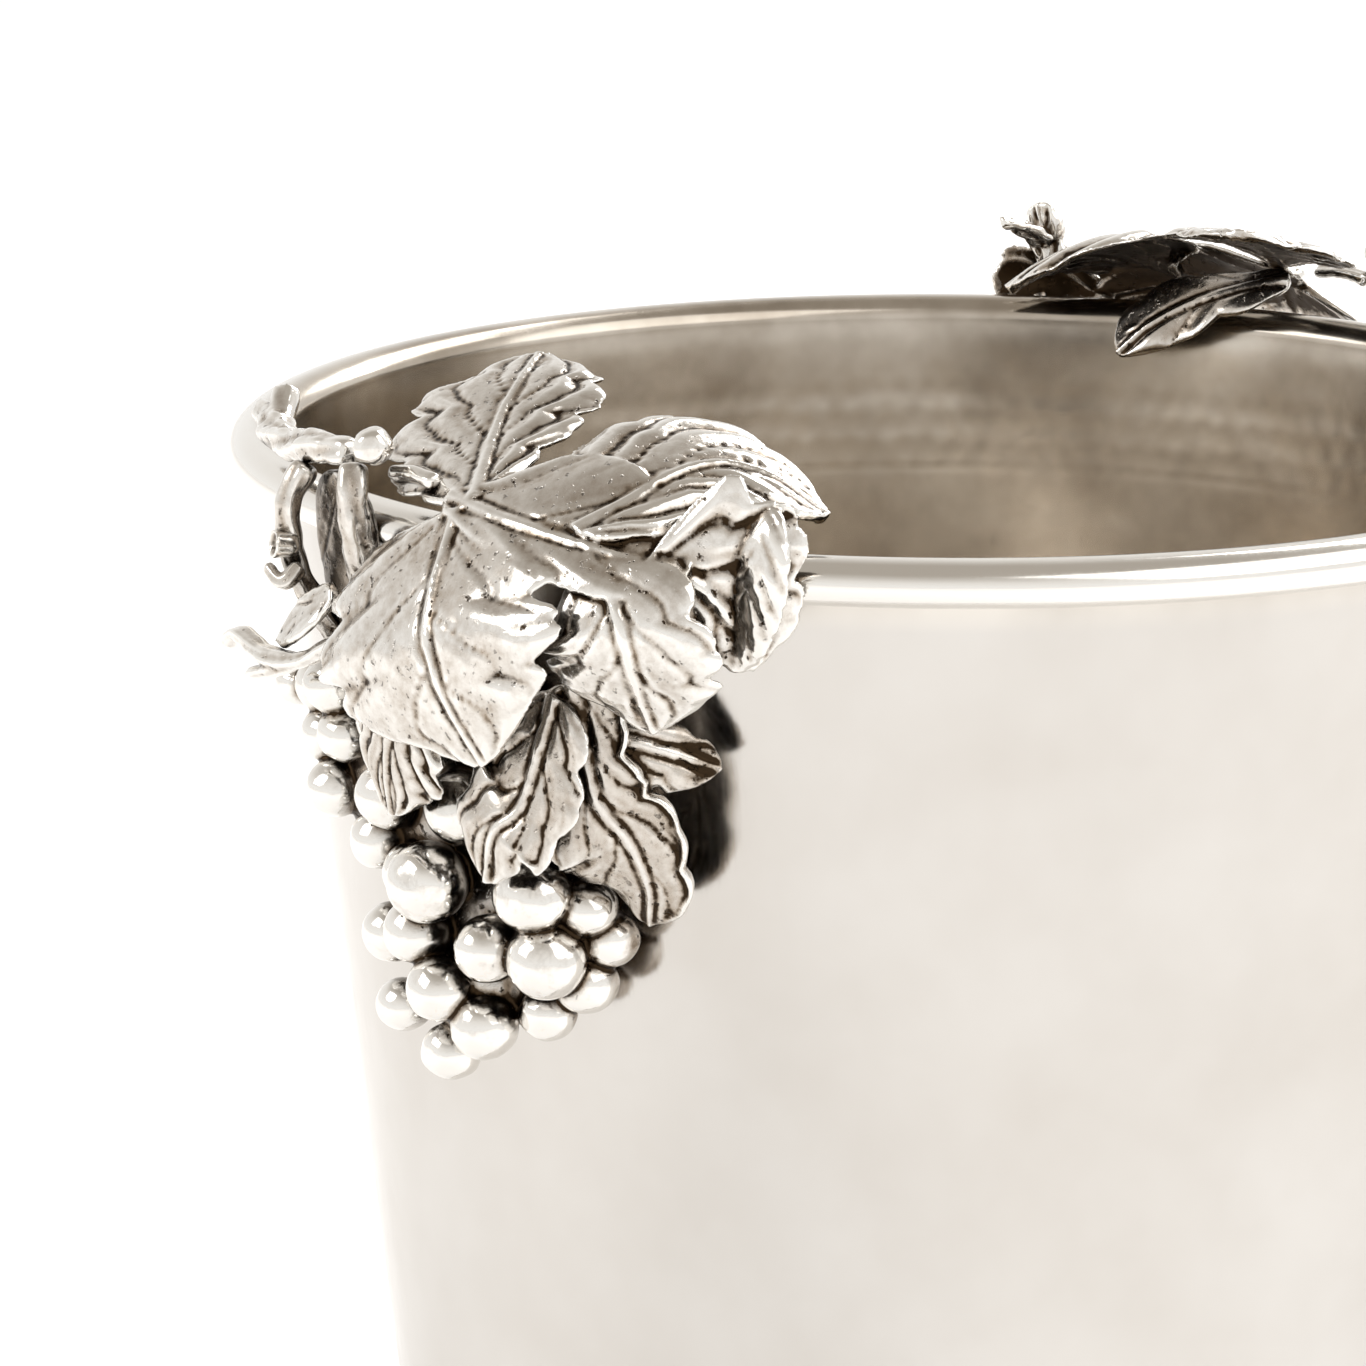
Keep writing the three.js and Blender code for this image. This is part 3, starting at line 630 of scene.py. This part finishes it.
def castings(side):
    """name: (shells, material slot, voxel size) for each casting of one handle."""
    parts = {
        "vine_cane": (cane(), "cast_silver", 0.32),
        "leaf_large": (leaf(LARGE_LEAF, side), "cast_silver", 0.4),
        "cane_knob": ([tube(*CANE_KNOB, seed=4, knots=0.03)], "cast_silver", 0.3),
        "twig_arch": ([tube(*TWIG_ARCH, seed=5, flat=0.7)], "cast_silver", 0.3),
        "bunch_stem": ([tube(*BUNCH_STEM, seed=6), lobe(**STEM_WEB)], "oxidised_casting", 0.32),
        "side_stem": ([tube(*SIDE_STEM, seed=7)], "oxidised_casting", 0.32),
        "cut_spur": ([tube(*CUT_SPUR, seed=8, knots=0.03, cut=True)], "cast_silver", 0.25),
        "curled_spur": ([tube(*CURLED_SPUR, seed=9)], "oxidised_casting", 0.25),
        "tendril_long": (tendril(), "cast_silver", 0.3),
        "tendril_flat": ([lobe(**FLAT_TENDRIL)], "cast_silver", 0.3),
        "leaf_lower": (leaf(LOWER_LEAF), "oxidised_casting", 0.34),
        "leaf_side": (leaf(SIDE_LEAF), "oxidised_casting", 0.34),
        "leaf_inner": (leaf(INNER_LEAF), "oxidised_casting", 0.34),
        "grape_bunch": (bunch(), "cast_silver", 0.42),
    }
    if side == "right":
        parts["leaf_tip_upturned"] = (leaf(UPTURNED_TIP), "cast_silver", 0.3)
    return parts


def stand_for(piece, node):
    """The piece is what is seen of a CAD node: it hangs from the root body, and the node is hidden."""
    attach(piece, "root")
    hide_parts(node)


def add_handles(materials):
    """Every casting of both handles, fused, made uneven, darkened with oxide and painted shade, and set on
    its side of the bucket.
    """
    for side, turn in HANDLES.items():
        for name, (shells, slot, voxel) in castings(side).items():
            node = f"{side}_{name}"
            piece = link_mesh(node + "_cast", *joined(shells), materials[slot])
            fuse(piece, voxel, 3)
            mesh = piece.data
            spots = mesh_points(mesh).astype(np.float64) / MM
            uneven = 0.07 * ripple(spots, 7.0, 21) + 0.02 * ripple(spots, 2.6, 22)
            set_mesh_points(mesh, (spots + mesh_normals(mesh) * uneven[:, None]) * MM)
            mark_recesses(mesh)
            darken_near_wall(mesh)
            # painted shade on the backs of the large leaf's lobes
            if name == "leaf_large":
                paint_shade_on_backs(mesh)
            mesh.transform(Matrix.Rotation(math.radians(turn), 4, "Z"))
            stand_for(piece, node)


# ---- the bucket -----------------------------------------------------------------------------------

AROUND = 720


def lathe(node, outline, materials, slot, around=AROUND, shape=None):
    """A closed outline of [radius, height] turned about the axis; shape moves points outwards."""
    outline = np.asarray(outline)
    turn = np.linspace(0, 2 * math.pi, around, endpoint=False)
    radius = np.broadcast_to(outline[:, 0][:, None], (len(outline), around))
    height = np.broadcast_to(outline[:, 1][:, None], (len(outline), around))
    if shape is not None:
        radius = radius + shape(np.broadcast_to(turn[None, :], radius.shape), radius, height)
    points = np.stack([radius * np.cos(turn), radius * np.sin(turn), height], axis=-1).reshape(-1, 3)
    faces = grid_faces(len(outline), around, wrap_rows=True, wrap_columns=True)
    piece = link_mesh(node + "_turned", points, faces, materials[slot])
    stand_for(piece, node)
    return piece


def ellipse_arc(centre, half_width, half_height, start, end, count):
    angle = np.radians(np.linspace(start, end, count))
    return np.stack([centre[0] + half_width * np.cos(angle), centre[1] + half_height * np.sin(angle)], axis=1)


def stretch(a, b, count):
    """Evenly spread points from a to b, without the last."""
    return np.linspace(a, b, count, endpoint=False)


HAMMER_TOP = 15.0
HAMMER_BOTTOM = 31.0
HAMMER_SIZE = 5.0
HAMMER_ROWS = 3
HAMMER_RADIUS = 110.0
HAMMER_DEPTH = 0.05
LINE_DEPTH = 0.04


def hammered(turn, radius, height):
    """Rows of shallow round dents inside the bowl, below the flare, and a fine line under them."""
    inner = radius < outer_wall(height) - SHEET / 2
    depth = HEIGHT - height
    girth = 2 * math.pi * HAMMER_RADIUS
    along = turn * HAMMER_RADIUS
    rng = np.random.default_rng(5)
    dent = np.zeros_like(radius)
    marks = int(girth / HAMMER_SIZE)
    for row in range(HAMMER_ROWS):
        level = HAMMER_TOP + (row + 0.5) * (HAMMER_BOTTOM - HAMMER_TOP) / HAMMER_ROWS
        spots = (np.arange(marks) + 0.5 * (row % 2) + rng.uniform(-0.12, 0.12, marks)) * girth / marks
        rises = level + rng.uniform(-0.5, 0.5, marks)
        nearest = np.floor(along / girth * marks).astype(int)
        for shift in (-1, 0, 1):
            pick = (nearest + shift) % marks
            off = np.abs(along - spots[pick])
            off = np.minimum(off, np.abs(girth - off))
            reach = np.sqrt(off ** 2 + (depth - rises[pick]) ** 2) / (HAMMER_SIZE / 2)
            dent = np.maximum(dent, np.clip(1 - reach ** 2, 0, 1))
    line = np.exp(-((depth - HAMMER_BOTTOM) / 0.6) ** 2)
    return np.where(inner, HAMMER_DEPTH * dent + LINE_DEPTH * line, 0.0)


def add_bucket(materials):
    half_width, half_height = ROLL_WIDTH / 2, ROLL_HEIGHT / 2
    neck = HEIGHT - ROLL_HEIGHT
    flare = HEIGHT - FLARE_DEPTH
    inside_flare = spline([[ROLL_CENTRE[0] - half_width, ROLL_CENTRE[1]],
                           [outer_wall(flare + 9) - SHEET - 0.1, flare + 9],
                           [outer_wall(flare) - SHEET, flare]], 14)
    outline = np.vstack([
        stretch([outer_wall(WALL_FOOT), WALL_FOOT], [outer_wall(neck), neck], 42),
        ellipse_arc(ROLL_CENTRE, half_width - SHEET, half_height - SHEET, 180, -140, 16),
        ellipse_arc(ROLL_CENTRE, half_width, half_height, -140, 180, 40)[:-1],
        inside_flare[:-1],
        stretch([outer_wall(flare) - SHEET, flare],
                [outer_wall(HEIGHT - 34) - SHEET, HEIGHT - 34], 22),
        np.linspace([outer_wall(HEIGHT - 34) - SHEET, HEIGHT - 34],
                    [outer_wall(WALL_FOOT) - SHEET, WALL_FOOT], 24),
    ])
    wall = lathe("bucket_wall", outline, materials, "polished_silver", shape=hammered)
    spots = mesh_points(wall.data) / MM
    reach = np.hypot(spots[:, 0], spots[:, 1])
    behind_crest = smoothstep(ROLL_CENTRE[0] + 1.5, ROLL_CENTRE[0] - 2.5, reach)
    inner_face = smoothstep(-0.4, 0.4, outer_wall(spots[:, 2]) - SHEET / 2 - reach)
    below_roll = smoothstep(HEIGHT - ROLL_HEIGHT, HEIGHT - ROLL_HEIGHT - 3, spots[:, 2])
    set_attribute(wall.data, "inner", behind_crest * (1 - below_roll) + inner_face * below_roll)
    set_attribute(wall.data, "roll", 1 - below_roll)
    wire = ellipse_arc(ROLL_CENTRE, WIRE_RADIUS, WIRE_RADIUS, 0, 360, 17)[:-1]
    lathe("rim_wire", wire, materials, "polished_silver", around=360)
    top = WALL_FOOT + BASE_THICKNESS
    edge = outer_wall(WALL_FOOT) - SHEET - GAP
    plate = [[0.05, WALL_FOOT], [edge, WALL_FOOT], [edge, top], [0.05, top]]
    lathe("base_plate", plate, materials, "satin_silver", around=240)
    outer = BASE_RADIUS + FOOT_FLARE
    inner_edge = outer - FOOT_WIDTH
    middle = (outer - FOOT_FLARE, FOOT_HEIGHT / 2)
    ring = np.vstack([[[inner_edge, 0]],
                      ellipse_arc(middle, FOOT_FLARE, FOOT_HEIGHT / 2, -90, 90, 24),
                      [[inner_edge, FOOT_HEIGHT]]])
    lathe("foot_ring", ring, materials, "polished_silver", around=480)


# ---- materials ------------------------------------------------------------------------------------

class Shader:
    """A material whose nodes are added by short calls that return output sockets."""

    def __init__(self, name):
        self.material = bpy.data.materials.new(name)
        self.material.use_nodes = True
        self.tree = self.material.node_tree
        self.surface = self.tree.nodes["Principled BSDF"]

    def node(self, kind, inputs=None, output=0, **settings):
        made = self.tree.nodes.new("ShaderNode" + kind)
        for key, value in settings.items():
            setattr(made, key, value)
        for key, value in (inputs or {}).items():
            self.put(made.inputs[key], value)
        return made.outputs[output]

    def put(self, socket, value):
        if isinstance(value, bpy.types.NodeSocket):
            self.tree.links.new(value, socket)
        else:
            socket.default_value = value

    def set(self, **values):
        for key, value in values.items():
            self.put(self.surface.inputs[key.replace("_", " ").title().replace("Ior", "IOR")], value)

    def math(self, operation, a, b=0.0, clamp=False):
        return self.node("Math", {0: a, 1: b}, operation=operation, use_clamp=clamp)

    def remap(self, value, low, high, to_low=0.0, to_high=1.0):
        return self.node("MapRange", {"Value": value, "From Min": low, "From Max": high,
                                      "To Min": to_low, "To Max": to_high})

    def mix(self, share, a, b):
        return self.node("Mix", {0: share, 6: a, 7: b}, output=2, data_type="RGBA")

    def spots(self, across=1.0, up=1.0):
        """Place on the object in millimetres, squeezed sideways or upwards."""
        place_mm = self.node("TexCoord", output="Object")
        return self.node("Mapping", {"Vector": place_mm,
                                     "Scale": (1000 * across, 1000 * across, 1000 * up)})

    def noise(self, spots, scale, detail=3.0, roughness=0.55):
        return self.node("TexNoise", {"Vector": spots, "Scale": scale, "Detail": detail,
                                      "Roughness": roughness})

    def bump(self, height, distance, strength=1.0, normal=None):
        inputs = {"Height": height, "Distance": distance * MM, "Strength": strength}
        if normal is not None:
            inputs["Normal"] = normal
        return self.node("Bump", inputs)


SILVER = (0.88, 0.86, 0.825, 1.0)
POLISHED_SILVER = (0.68, 0.66, 0.635, 1.0)
WARM_SILVER = (0.72, 0.64, 0.54, 1.0)
STAINED_SILVER = (0.56, 0.525, 0.485, 1.0)
# inside of the bowl: painted shade, in a lighter and a tarnished tone
SHADED_INSIDE = (0.69, 0.635, 0.56, 1.0)
SHADED_TARNISHED_INSIDE = (0.40, 0.35, 0.29, 1.0)
TARNISHED_SATIN = (0.52, 0.45, 0.36, 1.0)
# near-black oxide in grooves and pits; also painted shade in deep gaps and on the leaf backs
DARK_OXIDE_AND_SHADE = (0.035, 0.022, 0.012, 1.0)
# brown oxide wash in low places; on the leaf backs it is painted shade
BROWN_OXIDE_AND_SHADE = (0.33, 0.26, 0.19, 1.0)


def polished_silver():
    """The raised sheet: polished outside; inside, a dimmer and browner base colour that is painted shade,
    mottled with tarnish.
    """
    shader = Shader("polished_silver")
    spots = shader.spots()
    inner = shader.node("Attribute", output="Fac", attribute_name="inner")
    cloud = shader.noise(spots, 0.028, 4.0)
    mottle = shader.noise(spots, 0.11, 3.0)
    streaks = shader.noise(shader.spots(1.0, 0.012), 1.6, 3.0)
    stain = shader.remap(cloud, 0.2, 0.8)
    buffed = shader.node("Attribute", output="Fac", attribute_name="roll")
    outside = shader.mix(shader.math("MULTIPLY", stain, 0.7), POLISHED_SILVER, STAINED_SILVER)
    outside = shader.mix(buffed, outside, SILVER)
    # painted shade: the inside gets a darker, browner base colour, mottled with tarnish patches
    inside = shader.mix(shader.remap(cloud, 0.35, 0.65), SHADED_INSIDE, SHADED_TARNISHED_INSIDE)
    shader.set(base_color=shader.mix(inner, outside, inside), metallic=1.0)
    smooth = shader.math("ADD", shader.remap(mottle, 0.3, 0.7, 0.09, 0.17),
                         shader.remap(streaks, 0.35, 0.65, 0.0, 0.05))
    dull = shader.remap(mottle, 0.3, 0.7, 0.17, 0.26)
    rough = shader.node("Mix", {0: inner, 2: smooth, 3: dull}, data_type="FLOAT")
    shader.set(roughness=rough)
    waves = shader.bump(shader.noise(spots, 0.05, 2.0), 0.35, 0.5)
    shader.set(normal=shader.bump(streaks, 0.02, 0.25, waves))
    return shader.material


def satin_silver():
    shader = Shader("satin_silver")
    spots = shader.spots()
    cloud = shader.noise(spots, 0.05, 4.0)
    shader.set(base_color=shader.mix(shader.remap(cloud, 0.3, 0.7), WARM_SILVER, TARNISHED_SATIN),
               metallic=1.0, roughness=shader.remap(cloud, 0.3, 0.7, 0.3, 0.42),
               normal=shader.bump(shader.noise(spots, 0.6, 3.0), 0.03, 0.4))
    return shader.material


def cast_silver(name, oxide):
    """Buffed on the ridges, with oxide left in the recesses; oxide runs from 0 to 1. The dark colours also
    paint shade, on the leaf backs and, by ambient occlusion, in deep gaps between parts.
    """
    shader = Shader(name)
    spots = shader.spots()
    oxide_and_shade = shader.node("Attribute", output="Fac", attribute_name="oxide_and_shade")
    # ambient occlusion: deep gaps between parts turn near-black, partly oxide and partly painted shade
    occlusion_shade = shader.node("AmbientOcclusion", {"Distance": 12 * MM}, output="AO", samples=6)
    grain = shader.noise(spots, 0.9, 4.0, 0.65)
    cloud = shader.noise(spots, 0.16, 3.0)
    wander = shader.remap(grain, 0.3, 0.7, -0.05, 0.05)
    low = shader.math("ADD", oxide_and_shade, wander)
    line = shader.remap(low, 0.07 - 0.04 * oxide, 0.22 - 0.06 * oxide)
    deep_oxide_and_shade = shader.remap(occlusion_shade, 0.62 + 0.1 * oxide, 0.2 + 0.1 * oxide)
    wash = shader.math("MULTIPLY", shader.remap(low, -0.16 - 0.16 * oxide, 0.1),
                       shader.remap(cloud, 0.3, 0.65, 0.4 + 0.4 * oxide, 0.95))
    pits = shader.remap(shader.noise(spots, 0.75, 2.0, 0.5), 0.62 - 0.03 * oxide, 0.70 - 0.03 * oxide)
    pits = shader.math("MULTIPLY", pits, shader.remap(low, -0.1, 0.02))
    colour = shader.mix(wash, SILVER, BROWN_OXIDE_AND_SHADE)
    dark = shader.math("MAXIMUM", shader.math("MAXIMUM", line, deep_oxide_and_shade), pits)
    shader.set(base_color=shader.mix(dark, colour, DARK_OXIDE_AND_SHADE), metallic=1.0)
    rough = shader.math("ADD", shader.remap(grain, 0.3, 0.7, 0.08, 0.14 + 0.05 * oxide),
                        shader.math("MULTIPLY", shader.math("MAXIMUM", wash, dark), 0.2))
    shader.set(roughness=rough)
    skin = shader.bump(grain, 0.05, 0.5)
    shader.set(normal=shader.bump(shader.math("SUBTRACT", 1.0, pits), 0.18, 0.8, skin))
    return shader.material


# ---- the studio -----------------------------------------------------------------------------------

FLOOR_GLOW = 0.34
FLOOR_RADIUS = 12000
FLOOR_SIDES = 96
HORIZON = (1.0, 0.99, 0.97, 1.0)
MIDDLE_SKY = (0.86, 0.83, 0.79, 1.0)
ZENITH = (0.46, 0.42, 0.37, 1.0)


def add_studio():
    world = bpy.data.worlds.new("studio")
    bpy.context.scene.world = world
    world.use_nodes = True
    tree = world.node_tree
    background = tree.nodes["Background"]
    place_node = tree.nodes.new("ShaderNodeTexCoord")
    split = tree.nodes.new("ShaderNodeSeparateXYZ")
    ramp = tree.nodes.new("ShaderNodeValToRGB")
    tree.links.new(place_node.outputs["Generated"], split.inputs[0])
    tree.links.new(split.outputs["Z"], ramp.inputs[0])
    tree.links.new(ramp.outputs["Color"], background.inputs["Color"])
    stops = ramp.color_ramp.elements
    stops[0].position, stops[0].color = 0.0, HORIZON
    stops[1].position, stops[1].color = 0.9, ZENITH
    middle = stops.new(0.45)
    middle.color = MIDDLE_SKY
    background.inputs["Strength"].default_value = 1.0

    floor_look = Shader("pale_floor")
    floor_look.set(base_color=(0.9, 0.9, 0.9, 1.0), roughness=0.9,
                   emission_color=(1.0, 1.0, 1.0, 1.0), emission_strength=FLOOR_GLOW)
    turn = np.linspace(0, 2 * math.pi, FLOOR_SIDES, endpoint=False)
    edge = np.stack([FLOOR_RADIUS * np.cos(turn), FLOOR_RADIUS * np.sin(turn), np.zeros(FLOOR_SIDES)], axis=1)
    floor = link_mesh("floor", edge, [tuple(range(FLOOR_SIDES))], floor_look.material)
    add_area_light("key", (1.7, 0.2, 1.35), (0, 0, 0.1), (1.1, 1.1), 15)
    add_area_light("side", (-1.4, 0.8, 1.2), (0, 0, 0.15), (1.0, 0.8), 7)
    add_area_light("front", (0.4, -1.9, 1.9), (0, 0, 0.1), (2.6, 2.2), 22)


# ---- everything -----------------------------------------------------------------------------------

looks = {
    "polished_silver": polished_silver(),
    "satin_silver": satin_silver(),
    "cast_silver": cast_silver("cast_silver", 0.0),
    "oxidised_casting": cast_silver("oxidised_casting", 1.0),
}
add_bucket(looks)
add_handles(looks)
add_studio()
add_camera()
bpy.context.scene.view_settings.view_transform = "Standard"
